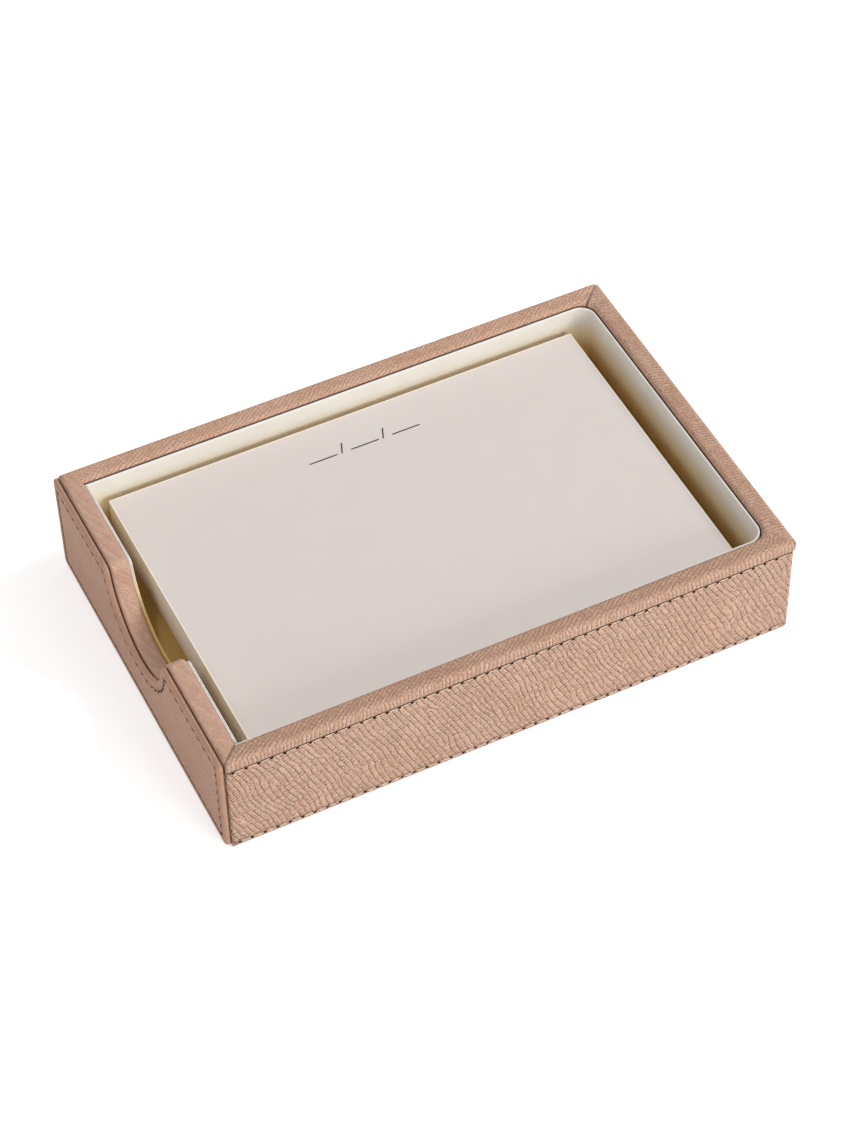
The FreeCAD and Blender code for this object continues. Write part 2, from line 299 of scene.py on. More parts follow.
def leather_material(name, zones, tick_mm, tick_share, pore_share, depth_mm, dark, light, specular=0.2):
    """Cross-grained calf leather: long creases in rows, where it was boarded, and short ones across them.
    Each zone gives its rows' width and lean, its share of the relief, and the band across the leather where
    it begins and is full. Short creases are tick_mm apart, at places and depths that differ from row to row.
    Creases are painted a little darker as shade, the ridge beside each gets a painted highlight, the seam
    attribute paints dark shade, and the finish is matt."""
    made, tree, shader = new_material(name, 0.5, specular)
    place = add(tree, "ShaderNodeUVMap", {"uv_map": "grain"}, {})
    across = add(tree, "ShaderNodeSeparateXYZ", {}, {"Vector": place}).outputs["Y"]
    drifts = []
    bent = place
    for wave_mm, reach_mm in ((20.0, 3.0), (3.0, 0.5), (1.2, 0.25)):
        drift = add(tree, "ShaderNodeTexNoise", {"noise_dimensions": "2D"},
                    {"Vector": place, "Scale": 1 / (wave_mm * MM), "Detail": 1.0})
        drifts.append(add(tree, "ShaderNodeVectorMath", {"operation": "SUBTRACT"},
                          {0: drift.outputs["Color"], 1: (0.5, 0.5, 0.5)}))
        bent = add(tree, "ShaderNodeVectorMath", {"operation": "MULTIPLY_ADD"},
                   {0: drifts[-1], 1: (reach_mm * MM, reach_mm * MM, 0), 2: bent})
    slow = add(tree, "ShaderNodeSeparateXYZ", {}, {"Vector": drifts[0]}).outputs
    quick = add(tree, "ShaderNodeSeparateXYZ", {}, {"Vector": drifts[1]}).outputs
    uneven = add(tree, "ShaderNodeMapRange", {},
                 {"Value": quick["Z"], "From Min": -0.15, "From Max": 0.15, "To Min": 0.35, "To Max": 1.0})
    swirl = add(tree, "ShaderNodeMath", {"operation": "ARCTAN2"}, {0: slow["X"], 1: slow["Y"]})
    branch = add(tree, "ShaderNodeMath", {"operation": "DIVIDE"}, {0: swirl, 1: 2 * math.pi})
    pores = add(tree, "ShaderNodeTexNoise", {"noise_dimensions": "2D"},
                {"Vector": place, "Scale": 1 / (pore_mm * MM), "Detail": 2.0})
    relief = add(tree, "ShaderNodeMath", {"operation": "MULTIPLY"}, {0: pores, 1: pore_share})
    painted_highlight = 0.0
    for wide_mm, lean, share, begins, full in zones:
        laid = add(tree, "ShaderNodeMapping", {"vector_type": "TEXTURE"},
                   {"Vector": bent, "Rotation": (0, 0, math.radians(lean)),
                    "Scale": (wide_mm * MM, tick_mm * MM, 1)})
        parts = add(tree, "ShaderNodeSeparateXYZ", {}, {"Vector": laid}).outputs
        row = add(tree, "ShaderNodeMath", {"operation": "ADD"}, {0: parts["X"], 1: branch})
        side = add(tree, "ShaderNodeMath", {"operation": "PINGPONG"}, {0: row, 1: 0.5})
        strip = add(tree, "ShaderNodeMapRange", {"interpolation_type": "SMOOTHSTEP"},
                    {"Value": side, "From Max": 0.22, "To Max": share})
        number = add(tree, "ShaderNodeMath", {"operation": "FLOOR"}, {0: row})
        start = add(tree, "ShaderNodeTexWhiteNoise", {"noise_dimensions": "1D"}, {"W": number})
        step = add(tree, "ShaderNodeMath", {"operation": "ADD"}, {0: parts["Y"], 1: start})
        nearest = add(tree, "ShaderNodeMath", {"operation": "ROUND"}, {0: step})
        tick = add(tree, "ShaderNodeCombineXYZ", {}, {"X": number, "Y": nearest})
        deep = add(tree, "ShaderNodeTexWhiteNoise", {"noise_dimensions": "2D"}, {"Vector": tick})
        off_tick = add(tree, "ShaderNodeMath", {"operation": "PINGPONG"}, {0: step, 1: 0.5})
        cut = add(tree, "ShaderNodeMapRange", {"interpolation_type": "SMOOTHSTEP"},
                  {"Value": off_tick, "From Max": 0.25, "To Min": -tick_share, "To Max": 0.0})
        pillow = add(tree, "ShaderNodeMath", {"operation": "MULTIPLY_ADD"}, {0: cut, 1: deep, 2: strip})
        reached = add(tree, "ShaderNodeMapRange", {"interpolation_type": "SMOOTHSTEP"},
                      {"Value": across, "From Min": begins * MM, "From Max": full * MM})
        shown = add(tree, "ShaderNodeMath", {"operation": "MULTIPLY"}, {0: reached, 1: uneven})
        relief = add(tree, "ShaderNodeMath", {"operation": "MULTIPLY_ADD"}, {0: pillow, 1: shown, 2: relief})
        # Painted highlight: beside each long and short crease a pale line is painted, on the ridge that faces
        # the light.
        for line, strength, part in ((row, 1.6 * share, 1.0), (step, 1.7 * tick_share, deep)):
            beside = add(tree, "ShaderNodeMath", {"operation": "ADD"}, {0: line, 1: 0.25})
            off_ridge = add(tree, "ShaderNodeMath", {"operation": "PINGPONG"}, {0: beside, 1: 0.5})
            highlight_line = add(tree, "ShaderNodeMapRange", {"interpolation_type": "SMOOTHSTEP"},
                        {"Value": off_ridge, "From Max": 0.22, "To Min": strength, "To Max": 0.0})
            partly = add(tree, "ShaderNodeMath", {"operation": "MULTIPLY"}, {0: highlight_line, 1: part})
            painted_highlight = add(tree, "ShaderNodeMath", {"operation": "MULTIPLY_ADD"},
                         {0: partly, 1: shown, 2: painted_highlight})
    # Painted shade: creases are coloured darker than the ridges; blotches and pores are the leather's own
    # tone.
    shade = add(tree, "ShaderNodeMapRange", {}, {"Value": relief, "From Min": -0.1, "From Max": 0.5})
    clouds = add(tree, "ShaderNodeTexNoise", {"noise_dimensions": "2D"},
                 {"Vector": place, "Scale": 1 / (blotch_mm * MM), "Detail": 3.0})
    blotches = two_tone(tree, clouds, "#F4EAE5", "#FFFFFF")
    speckle = two_tone(tree, pores, "#C8BEB8", "#FFFFFF")
    # The seam attribute paints near-black shade in grooves, gaps and mitre valleys.
    seam = add(tree, "ShaderNodeAttribute", {"attribute_name": "seam"}, {}).outputs["Fac"]
    colour = two_tone(tree, shade, dark, light)
    speckled = min(1.0, 2 * pore_share)
    layers = [("MIX", painted_highlight, linear("#F9E0CD")), ("MULTIPLY", 1.0, blotches),
              ("MULTIPLY", speckled, speckle), ("MIX", seam, linear("#2E1B13"))]
    for blend, factor, over in layers:
        mixed = add(tree, "ShaderNodeMix", {"data_type": "RGBA", "blend_type": blend},
                    {0: factor, 6: colour, 7: over})
        colour = mixed.outputs[2]
    surface(tree, shader, colour, relief, depth_mm)
    return made


def groove(z, middle):
    """Share of a stitched groove's depth at a height, 1 on its line and 0 past its edges."""
    away = np.clip(np.abs(z - middle) / groove_half, 0, 1)
    return 0.5 + 0.5 * np.cos(math.pi * away)


grained_leather = leather_material(
    "cross-grained calf leather", zones=[(1.65, 24, 0.45, *everywhere)], tick_mm=1.1, tick_share=0.72,
    pore_share=0.5, depth_mm=0.8, dark="#895D43", light="#E8C2A9")
wrap_plan = [(wrap_low[0], wrap_low[1] + rim_wide), (wrap_low[0], wrap_low[1]),
             (wrap_high[0], wrap_low[1]), (wrap_high[0], wrap_high[1]),
             (wrap_low[0], wrap_high[1]), (wrap_low[0], wrap_high[1] - rim_wide)]
wrap_radii = [return_corner, wrap_corner, wrap_corner, return_corner]
wrap_path, wrap_out = rounded_path(wrap_plan, wrap_radii, path_step)
levels = np.concatenate([np.linspace(wrap_low[2], foot_z + groove_half, 18),
                         np.linspace(foot_z + groove_half, seam_z - groove_half, 24)[1:-1],
                         np.linspace(seam_z - groove_half, wrap_high[2], 18)])
to_edge = np.minimum(np.minimum(levels - wrap_low[2], wrap_high[2] - levels), edge_round)
eased = edge_round - np.sqrt(edge_round ** 2 - (edge_round - to_edge) ** 2)
sunk = groove(levels, foot_z) + groove(levels, seam_z)
section = np.stack([eased + sunk * groove_depth, levels], axis=1)
section = np.concatenate([section, [[leather_mm, wrap_high[2]], [leather_mm, wrap_low[2]]]])
# Painted shade: the groove just above the foot stitches and the top of the wrap under the rim's turned edge
# are darkened through the seam attribute.
under_stitches = foot_shade * groove(levels, foot_z + foot_shade_rise)
under_rim = rim_shade * np.clip((levels - seam_z) / rim_shade_band - 1, 0, 1)
section_seam = np.concatenate([np.maximum(under_stitches, under_rim) * groove_shade, [0, 0]])
grid = np.zeros((len(wrap_path), len(section), 3))
grid[:, :, :2] = wrap_path[:, None, :] - wrap_out[:, None, :] * section[None, :, :1]
grid[:, :, 2] = section[None, :, 1]
flat = np.zeros((len(wrap_path), len(section), 2))
flat[:, :, 0] = running_length(wrap_path)[:, None]
flat[:, :, 1] = running_length(section)[None, :]
seam = np.tile(section_seam, (len(wrap_path), 1))
fit(skin("wrap_leather", grid, flat, seam, grained_leather), "holder", "leather", "wall_wrap")

# Straight rims: leather drawn over the tops of three walls, its edge turned in along the seam. At
# the corners two rims are mitred with their edges folded under, which leaves a soft valley.
crown = box_mm("front_rim")[1][2]
rim_foot = box_mm("front_rim")[0][2]
rim_left = wrap_low[0]
rim_seam = wrap_high[2]
outer_round = 1.6
inner_round = 1.5
plan_round = 0.7
lining_bend = 5.5
turned_edge = 0.3
rim_swell = 0.35
valley_depth = 0.2
valley_half = 0.35
mitre_near = 2.0
mitre_far = 10.0
swell_from = 0.2
swell_full = 1.0
fold_shade = 0.7
front_fold = 0.9
rear_fold = 0.3
foot_band = 0.3


def arc(centre, radius, start, end, count):
    """Points on an arc, by its angles in degrees."""
    angles = np.radians(np.linspace(start, end, count))
    return np.stack([centre[0] + radius * np.cos(angles), centre[1] + radius * np.sin(angles)], axis=1)


def corner_inset(away, radius):
    """How far a rounded corner stands in from a straight side, at a distance from the sharp corner."""
    inside = np.clip(radius - away, 0, radius)
    return radius - np.sqrt(radius ** 2 - inside ** 2)


def rim_section():
    """Section of a rim as inset and height, from the seam over the crown to the turned-in foot and back."""
    tuck = arc((turned_edge, rim_seam + turned_edge), turned_edge, 270, 180, 5)
    side = np.linspace(rim_seam + turned_edge, crown - outer_round, 6)[1:-1]
    outside = np.concatenate([[[leather_mm, rim_seam]], tuck, np.stack([side * 0, side], axis=1)])
    over = arc((outer_round, crown - outer_round), outer_round, 180, 90, 12)
    inner = arc((rim_wide - inner_round, crown - inner_round), inner_round, 90, 0, 9)
    foot = np.array([[rim_wide, (crown + rim_foot) / 2], [rim_wide, rim_foot],
                     [rim_wide - leather_mm, rim_foot], [rim_wide - leather_mm, crown - leather_mm],
                     [outer_round, crown - leather_mm], [leather_mm, crown - outer_round]])
    return np.concatenate([outside, over, inner, foot])


def section_out(section):
    """Outward direction at each point of a section that runs up the outside and over the top."""
    ahead = np.roll(section, -1, axis=0) - np.roll(section, 1, axis=0)
    out = np.stack([-ahead[:, 1], ahead[:, 0]], axis=1)
    return out / np.linalg.norm(out, axis=1)[:, None]


def side_stations(length):
    """Shares along a side, closer together towards its two mitres."""
    ends = np.concatenate([np.linspace(0, mitre_near, 12), np.linspace(mitre_near, mitre_far, 24)[1:]])
    middle = np.linspace(mitre_far, length - mitre_far, int(length / path_step))[1:-1]
    return np.concatenate([ends, middle, (length - ends)[::-1]]) / length


def mitred_rim(length, bends, folds, shade_from):
    """Grid of a straight rim as run, inset and height; bends are the inner corner roundings at its two ends,
    folds are how open the two mitres are, and the inner roll is painted dark as shade from shade_from below
    the crown."""
    section = rim_section()
    out = section_out(section)
    share = side_stations(length)
    cut = 1 - math.sqrt(0.5)
    outer_run = cut * plan_round + share * (length - 2 * cut * plan_round)
    outer = corner_inset(outer_run, plan_round) + corner_inset(length - outer_run, plan_round)
    low_inset, high_inset = rim_wide + cut * bends[0], rim_wide + cut * bends[1]
    inner_run = low_inset + share * (length - low_inset - high_inset)
    inner = np.full(len(share), rim_wide)
    if bends[0]:
        inner += corner_inset(inner_run - rim_wide, bends[0])
    if bends[1]:
        inner += corner_inset(length - rim_wide - inner_run, bends[1])
    inset = outer[:, None] + (inner - outer)[:, None] * section[None, :, 0] / rim_wide
    run = inset[:1] + share[:, None] * (length - inset[-1:] - inset[:1])
    valley = 0
    for fold, from_corner in zip(folds, (run, length - run)):
        valley = valley + fold * np.exp(-((from_corner - inset) / math.sqrt(2) / valley_half) ** 2)
    above = section[:, 1] - rim_seam
    swollen = np.clip((above - swell_from) / (swell_full - swell_from), 0, 1)
    swell = rim_swell * swollen * np.clip(-out[:, 0], 0, 1)
    push = (swell[None, :] - valley_depth * valley) * (above > swell_from / 2)[None, :]
    grid = np.stack([run, inset + push * out[:, 0], section[:, 1] + push * out[:, 1]], axis=2)
    flat = np.stack([run, np.tile(running_length(section), (len(share), 1))], axis=2)
    # The mitre valleys are darkened partly as the joint's own dark line and partly as painted shade, and a
    # band of the inner roll below shade_from is painted dark as shade.
    fold = np.clip(1.2 * valley - 0.3, 0, 1) * np.clip(1.6 * inset / rim_wide, 0.2, 1)
    roll_shade = np.clip((crown - shade_from - section[:, 1]) / foot_band, 0, 1)
    roll_shade = roll_shade * (section[:, 0] > rim_wide / 2)
    return grid, flat, fold_shade * np.maximum(fold, roll_shade[None, :])


# For each rim: where the painted shade on its inner roll begins below the crown, the lean and share of its
# slanting creases, and the two tones of its leather. The rims are one leather; their tones differ from rim to
# rim as painted light, set to how brightly each rim shows.
rim_looks = {"front_rim": (0.4, -54, 0.2, "#A8836D", "#D2AD96"),
             "right_rim": (0.95, -8, 0.4, "#A67F68", "#D8B29B"),
             "rear_rim": (0.95, -54, 0.32, "#AF8870", "#E1BAA1")}
rim_length = wrap_high[0] - rim_left
rim_depth = wrap_high[1] - wrap_low[1]
front_left = (rim_left, wrap_low[1])
front_right = (wrap_high[0], wrap_low[1])
rear_right = (wrap_high[0], wrap_high[1])
sides = [("front_rim", rim_length, (0, lining_bend), (front_fold, 0.1), front_left, (1, 0), (0, 1)),
         ("right_rim", rim_depth, (lining_bend, lining_bend), (0.1, 1.0), front_right, (0, 1), (-1, 0)),
         ("rear_rim", rim_length, (lining_bend, 0), (1.0, rear_fold), rear_right, (-1, 0), (0, -1))]
for name, length, bends, folds, start, along, inwards in sides:
    shade_from, lean, share, dark, light = rim_looks[name]
    rim_leather = leather_material(
        "drawn calf leather, " + name, zones=[(1.2, 0, 0.5, 4.8, 3.6), (1.1, lean, share, 3.4, 5.0)],
        tick_mm=1.3, tick_share=0.3, pore_share=0.4, depth_mm=0.5, dark=dark, light=light)
    local, flat, seam = mitred_rim(length, bends, folds, shade_from)
    grid = local.copy()
    for axis in (0, 1):
        grid[:, :, axis] = start[axis] + along[axis] * local[:, :, 0] + inwards[axis] * local[:, :, 1]
    fit(skin(name + "_leather", grid, flat, seam, rim_leather), "holder", "leather", name)

# Left rim: the same leather drawn over the notched left wall, pleated a little where it turns down
# into the notch. Its outer side stays flat behind the drawer's front.
floor_z = box_mm("floor_lining")[1][2]
inner_foot = floor_z - 1.0
painted_gap_shade = 0.7
left_round = 0.9
notch_sill = 1.5
notch_radius = crown - floor_z - notch_sill
shoulder = 3.2
shoulder_y = math.sqrt((notch_radius + shoulder) ** 2 - shoulder ** 2)
crown_step = 1.0
pleat_high = 0.05
pleat_long = 1.7
full_round = 5.0
left_rim_foot = box_mm("left_rim")[0][2]
half_width = wrap_high[1]


def notch_stations(half):
    """Points on the notched crown line of the left end, front to rear, and the way down into the wall."""
    lean = math.atan2(shoulder, shoulder_y)
    points, inwards = [], []
    count = int((half - shoulder_y) / crown_step)
    for y in np.linspace(-half, -shoulder_y, count + 1):
        points.append((y, crown))
        inwards.append((0.0, -1.0))
    for angle in np.linspace(math.pi / 2, lean, 15)[1:]:
        out = np.array([math.cos(angle), math.sin(angle)])
        points.append(np.array([-shoulder_y, crown - shoulder]) + shoulder * out)
        inwards.append(-out)
    for angle in np.linspace(math.pi + lean, 1.5 * math.pi, 40)[1:]:
        out = np.array([math.cos(angle), math.sin(angle)])
        points.append(np.array([0, crown]) + notch_radius * out)
        inwards.append(out)
    points, inwards = np.array(points), np.array(inwards)
    mirror = np.array([-1, 1])
    points = np.concatenate([points, points[-2::-1] * mirror])
    return points, np.concatenate([inwards, inwards[-2::-1] * mirror])


def left_rim_grid():
    """Grid of the left rim: the mitred top follows the notch, and both sides run down to their feet."""
    line, inwards = notch_stations(half_width)
    count = len(line)
    reach = running_length(line)
    to_end = half_width - np.abs(line[:, 0])
    hold = np.clip(1 - to_end / (half_width - shoulder_y), 0, 1)
    openness = np.where(line[:, 0] < 0, front_fold, rear_fold)
    valley = openness * np.exp(-(to_end / math.sqrt(2) / valley_half) ** 2)
    pleat = pleat_high * np.sin(2 * math.pi * reach / pleat_long) * (np.abs(inwards[:, 0]) > 0.02)
    slack = (pleat + valley * valley_depth)[:, None]
    outer = (left_round + (outer_round - left_round) * np.clip(2 - to_end / full_round, 0, 1))[:, None]

    def drawn(inset, depth):
        """Points at insets from the outer face and depths below the crown line, mitred at the ends."""
        y = line[:, :1] + inwards[:, :1] * (depth + slack) - np.sign(line[:, :1]) * hold[:, None] * inset
        z = line[:, 1:] + inwards[:, 1:] * (depth + slack)
        return np.stack([rim_left + inset + 0 * y, y, z], axis=2)

    def upright(x, beside, z):
        """Points at one distance along the holder, level with another row, at given heights."""
        return np.stack([np.full(count, x), beside[:, 0, 1], z], axis=1)[:, None, :]

    unit = arc((1, 1), 1, 180, 270, 12)
    roll = arc((rim_wide - inner_round, inner_round), inner_round, 270, 360, 9)
    under = np.array([[rim_wide - leather_mm, leather_mm + 1], [rim_wide - leather_mm, leather_mm],
                      [outer_round, leather_mm], [leather_mm, outer_round]])
    first = drawn(0 * outer, outer)
    inner = drawn(np.full((count, 1), rim_wide), inner_round)
    foot = np.where(np.abs(line[:, 0]) > half_width - rim_wide, rim_seam, left_rim_foot)
    rows = [upright(rim_left + leather_mm, first, foot)]
    for share in (0.0, 0.35, 0.7):
        rows.append(upright(rim_left, first, foot + (first[:, 0, 2] - foot) * share))
    rows.append(drawn(outer * unit[None, :, 0], outer * unit[None, :, 1]))
    rows.append(drawn(np.tile(roll[:, 0], (count, 1)), roll[None, :, 1]))
    for share in (0.3, 0.65, 1.0):
        down = inner[:, 0, 2] + (inner_foot - inner[:, 0, 2]) * share
        rows.append(upright(rim_left + rim_wide, inner, down))
    rows.append(upright(rim_left + rim_wide - leather_mm, inner, np.full(count, inner_foot)))
    rows.append(drawn(np.tile(under[:, 0], (count, 1)), under[None, :, 1]))
    grid = np.concatenate(rows, axis=1)
    top = np.concatenate([outer_round * unit, roll])
    up, down = [[0, 12], [0, 11], [0, 8], [0, 5]], [[rim_wide, depth] for depth in (4, 8, 12, 13)]
    across = running_length(np.concatenate([up, top, down, under]))
    flat = np.stack([np.tile(reach[:, None], (1, grid.shape[1])), np.tile(across, (count, 1))], axis=2)
    # The mitre valleys at the two ends are darkened partly as the joint's own dark line and partly as painted
    # shade, and the outer side in the gap behind the drawer's front is painted dark as shade.
    fold = np.clip(1.2 * valley - 0.3, 0, 0.6)
    seam = np.tile(fold[:, None], (1, grid.shape[1]))
    seam[:, :5] = painted_gap_shade
    return grid, flat, seam


left_rim_leather = leather_material(
    "fine-grained calf leather drawn over a notched edge",
    zones=[(0.95, 48, 0.08, *everywhere), (2.6, 72, 0.1, *everywhere)], tick_mm=1.0, tick_share=0.08,
    pore_share=0.2, depth_mm=0.5, dark="#BC9682", light="#DEB9A3")
grid, flat, seam = left_rim_grid()
fit(skin("left_rim_leather", grid, flat, seam, left_rim_leather), "holder", "leather", "left_rim")

# Drawer front: a leather panel rolled round a stiff card, closing the notched end just below the rim.
# A stitched groove follows its edge all the way round.
panel_low, panel_high = box_mm("end_panel")
panel_thick = panel_high[0] - panel_low[0]
panel_drop = crown - panel_high[2]
panel_roll = 1.0
foot_corner = 2.5
top_corner = 1.2
panel_margin = 3.0
panel_step = 1.5
panel_ease = 0.15
panel_field = 1.2


def panel_stations():
    """Points round the panel's outline, the way in from its edge, and how many points its notched top has."""
    top, down = notch_stations(half_width - top_corner)
    points, inwards = [top + down * panel_drop], [down]
    right_top = np.array([half_width - top_corner, panel_high[2] - top_corner])
    right_foot = np.array([half_width - foot_corner, panel_low[2] + foot_corner])
    mirror = (-1, 1)
    corners = [(right_top, top_corner, 90, 0), (right_foot, foot_corner, 0, -90),
               (right_foot * mirror, foot_corner, -90, -180), (right_top * mirror, top_corner, 180, 90)]
    for centre, radius, start, end in corners:
        edge = arc(centre, radius, start, end, 9)
        if len(points) > 1:
            last = points[-1][-1]
            count = int(np.linalg.norm(edge[0] - last) / panel_step)
            between = np.linspace(0, 1, count + 1)[1:-1]
            points.append(last + (edge[0] - last) * between[:, None])
            inwards.append(np.tile(inwards[-1][-1], (count - 1, 1)))
        points.append(edge)
        inwards.append((centre - edge) / radius)
    points, inwards = np.concatenate(points), np.concatenate(inwards)
    # The first and the last corner arc repeat the two ends of the notched top.
    repeated = [len(top), len(points) - 1]
    return np.delete(points, repeated, axis=0), np.delete(inwards, repeated, axis=0), len(top)


def panel_ring(inset):
    """Outline of the panel set in from its edge, kept inside its straight sides and outside the notch."""
    ring = panel_line + panel_in * inset
    away = ring - (0, crown)
    reach = np.linalg.norm(away, axis=1)
    ring = (0, crown) + away * np.maximum(1, (notch_radius + panel_drop + inset) / reach)[:, None]
    ring[:, 0] = np.clip(ring[:, 0], inset - half_width, half_width - inset)
    ring[:, 1] = np.clip(ring[:, 1], panel_low[2] + inset, panel_high[2] - inset)
    ring[:top_count, 0] = np.maximum.accumulate(ring[:top_count, 0])
    return ring


panel_line, panel_in, top_count = panel_stations()
rolled = [(panel_ease, panel_thick), (0.0, panel_thick - panel_ease)]
rolled += (panel_roll - arc((0, 0), panel_roll, 0, 90, 10)).tolist()
for step in np.linspace(-groove_half, groove_half, 9):
    rolled.append((panel_margin + step, groove_depth * float(groove(step, 0.0))))
rolled = np.array(rolled + [(panel_margin + panel_field, 0.0)])
unrolled = running_length(rolled)
grid = np.zeros((len(rolled), len(panel_line), 3))
flat = np.zeros((len(rolled), len(panel_line), 2))
for k, (inset, sink) in enumerate(rolled):
    grid[k, :, 1:] = panel_ring(inset)
    grid[k, :, 0] = panel_low[0] + sink
    flat[k] = panel_line + panel_in * unrolled[k]
# Painted shade: the stitched groove, and the top edge beside the gap to the left rim, are darkened through
# the seam attribute.
row_seam = groove_shade * groove(rolled[:, 0], panel_margin - panel_ease)
row_seam[:2] = painted_gap_shade
seam = np.tile(row_seam[:, None], (1, len(panel_line)))
panel_leather = leather_material(
    "fine-grained calf leather", zones=[(1.1, 30, 0.1, *everywhere)], tick_mm=0.9, tick_share=0.1,
    pore_share=0.2, depth_mm=0.3, dark="#BC927A", light="#DAAF95", specular=0.08)
fit(skin("panel_leather", grid, flat, seam, panel_leather), "drawer", "leather", "end_panel")

# Wall lining: cream suede-faced card bent round the right-hand corners and glued inside the walls.
# Its top edge is rounded off, a little below the rim, with a thin dark gap beside the leather.
lining_low, lining_high = box_mm("wall_lining")
lining_mm = 1.0
lining_foot = lining_low[2]
lining_gap = 0.3
front_slack = 1.0
lip_band = 2.0
slack_span = 50.0
slack_start = -80.0
slack_rise = 25.0
back_straight = 3.0
face_straight = 6.0
# Suede is matt and even. Towards the floor it is painted a golden cast, a little darker at the bottom, for
# light bounced from the tan floor and the shade of the narrow gaps, and a paler painted highlight runs along
# its lip.
suede = nap_material("cream suede lining", "#E0DBCE", "#ECE8DE", 0.35, 0.04, 0.1,
                     [("#F2DDB8", 31.5, 25.5), ("#F4D28C", 25.0, 19.0), ("#E8E4DE", 34.9, 35.5)])
edge_radius = (lining_mm - lining_gap) / 2
lining_plan = [(lining_low[0], lining_low[1]), (lining_high[0], lining_low[1]),
               (lining_high[0], lining_high[1]), (lining_low[0], lining_high[1])]
lining_path, lining_out = rounded_path(lining_plan, [lining_bend, lining_bend], path_step)
lip = arc((lining_mm - edge_radius, lining_high[2] - edge_radius), edge_radius, 180, 0, 11)
section = np.concatenate([[[0, lining_foot], [0, lining_high[2] - back_straight]], lip,
                          [[lining_mm, lining_high[2] - face_straight], [lining_mm, lining_foot]]])
grid = np.zeros((len(lining_path), len(section), 3))
grid[:, :, :2] = lining_path[:, None, :] - lining_out[:, None, :] * section[None, :, :1]
grid[:, :, 2] = section[None, :, 1]
to_right = np.clip(1 - lining_path[:, 0] / slack_span, 0, 1)
from_left = np.clip((lining_path[:, 0] - slack_start) / slack_rise, 0.4, 1)
slack = front_slack * to_right * from_left * (lining_path[:, 1] < 0)
grid[:, :, 2] -= slack[:, None] * (section[None, :, 1] > lining_high[2] - lip_band)
plain = np.zeros(grid.shape[:2])
fit(skin("wall_suede", grid, grid[:, :, 1:], plain, suede), "holder", "lining", "wall_lining")

# End lining: the same suede-faced card, cut to the notch and glued inside the left wall. Its cut
# edge shows two pale plies with a fine line between them.
end_low, end_high = box_mm("end_lining")
lining_drop = crown - end_high[2]
line, inwards = notch_stations(end_high[1])
ply = [(0.0, 0.35), (0.12, 0.06), (0.3, 0.0), (0.45, 0.1), (0.5, 0.22)]
ply += [(1 - inset, depth) for inset, depth in ply[-2::-1]]
rows = []
for point, into in zip(line, inwards):
    edge = point + into * (lining_drop + ply[0][1])
    row = [(end_low[0], edge[0], lining_foot), (end_low[0], edge[0], (lining_foot + edge[1]) / 2)]
    for inset, depth in ply:
        at = point + into * (lining_drop + depth)
        row.append((end_low[0] + inset * lining_mm, at[0], at[1]))
    row.append((end_high[0], edge[0], (lining_foot + edge[1]) / 2))
    row.append((end_high[0], edge[0], lining_foot))
    rows.append(row)
grid = np.array(rows)
plain = np.zeros(grid.shape[:2])
fit(skin("end_suede", grid, grid[:, :, 1:], plain, suede), "holder", "lining", "end_lining")

# Floor lining: suede-faced card in a deeper tan, cut to the tray and glued on the shelf. The sheets
# lie on it, so only a strip of it shows beside them; its tan is partly the card's own colour and partly
# painted shade for that narrow gap.
tan_suede = nap_material("tan suede card", "#A8884A", "#BC9A58", 0.35, 0.05, 0.1, [])
dress("floor_lining", tan_suede)

# Stitching: one row of waxed thread along the rim's seam, one along the foot and one round the
# drawer's front. On the walls each stitch lies in its groove between two needle holes, and on the
# drawer's front it lies beside a slit; the holes and slits are near-black solids that paint the shade inside
# them.
pitch = 3.8
thread_wide = 0.45
thread_high = 0.4
hole_high = 0.5
twist_mm = 2.2
twist_depth = 0.06
hole_speck_mm = 0.3
seam_stitch = {"Stitch length": 3.1, "Hole length": 1.0, "Hole width": 1.1,
               "Hole step": pitch / 2, "Hole drop": 0.0}
panel_stitch = {"Stitch length": 2.0, "Hole length": 2.1, "Hole width": 0.8,
                "Hole step": 0.0, "Hole drop": 0.3, "Thread width": 0.3}


def thread_material(name, dark, light):
    """Waxed polyester thread: two twisted plies, so slanting lines cross each stitch. They are drawn coarser
    than the real twist, which is too fine to show."""
    made, tree, shader = new_material(name, 0.5, 0.3)
    place = add(tree, "ShaderNodeTexCoord", {}, {}).outputs["Object"]
    twist = add(tree, "ShaderNodeTexWave", {"bands_direction": "DIAGONAL"},
                {"Vector": place, "Scale": 1 / (twist_mm * MM), "Distortion": 0.5}).outputs["Fac"]
    surface(tree, shader, two_tone(tree, twist, dark, light), twist, twist_depth)
    return made


def hole_shade_material():
    """Painted shade of a needle hole: near-black and fully rough, so it gives back almost no light."""
    made, tree, shader = new_material("painted needle hole shade", 1.0, 0.0)
    place = add(tree, "ShaderNodeTexCoord", {}, {}).outputs["Object"]
    speck = add(tree, "ShaderNodeTexNoise", {}, {"Vector": place, "Scale": 1 / (hole_speck_mm * MM)})
    tree.links.new(two_tone(tree, speck, "#140C08", "#3A261C"), shader.inputs["Base Color"])
    return made


def new_tree(name, inputs):
    """Geometry Nodes tree with named inputs, each of its own kind, and what they give inside the tree."""
    tree = bpy.data.node_groups.new(name, "GeometryNodeTree")
    for label, kind in inputs.items():
        tree.interface.new_socket(label, in_out="INPUT", socket_type="NodeSocket" + kind)
    tree.interface.new_socket("Made", in_out="OUTPUT", socket_type="NodeSocketGeometry")
    return tree, add(tree, "NodeGroupInput", {}, {}).outputs


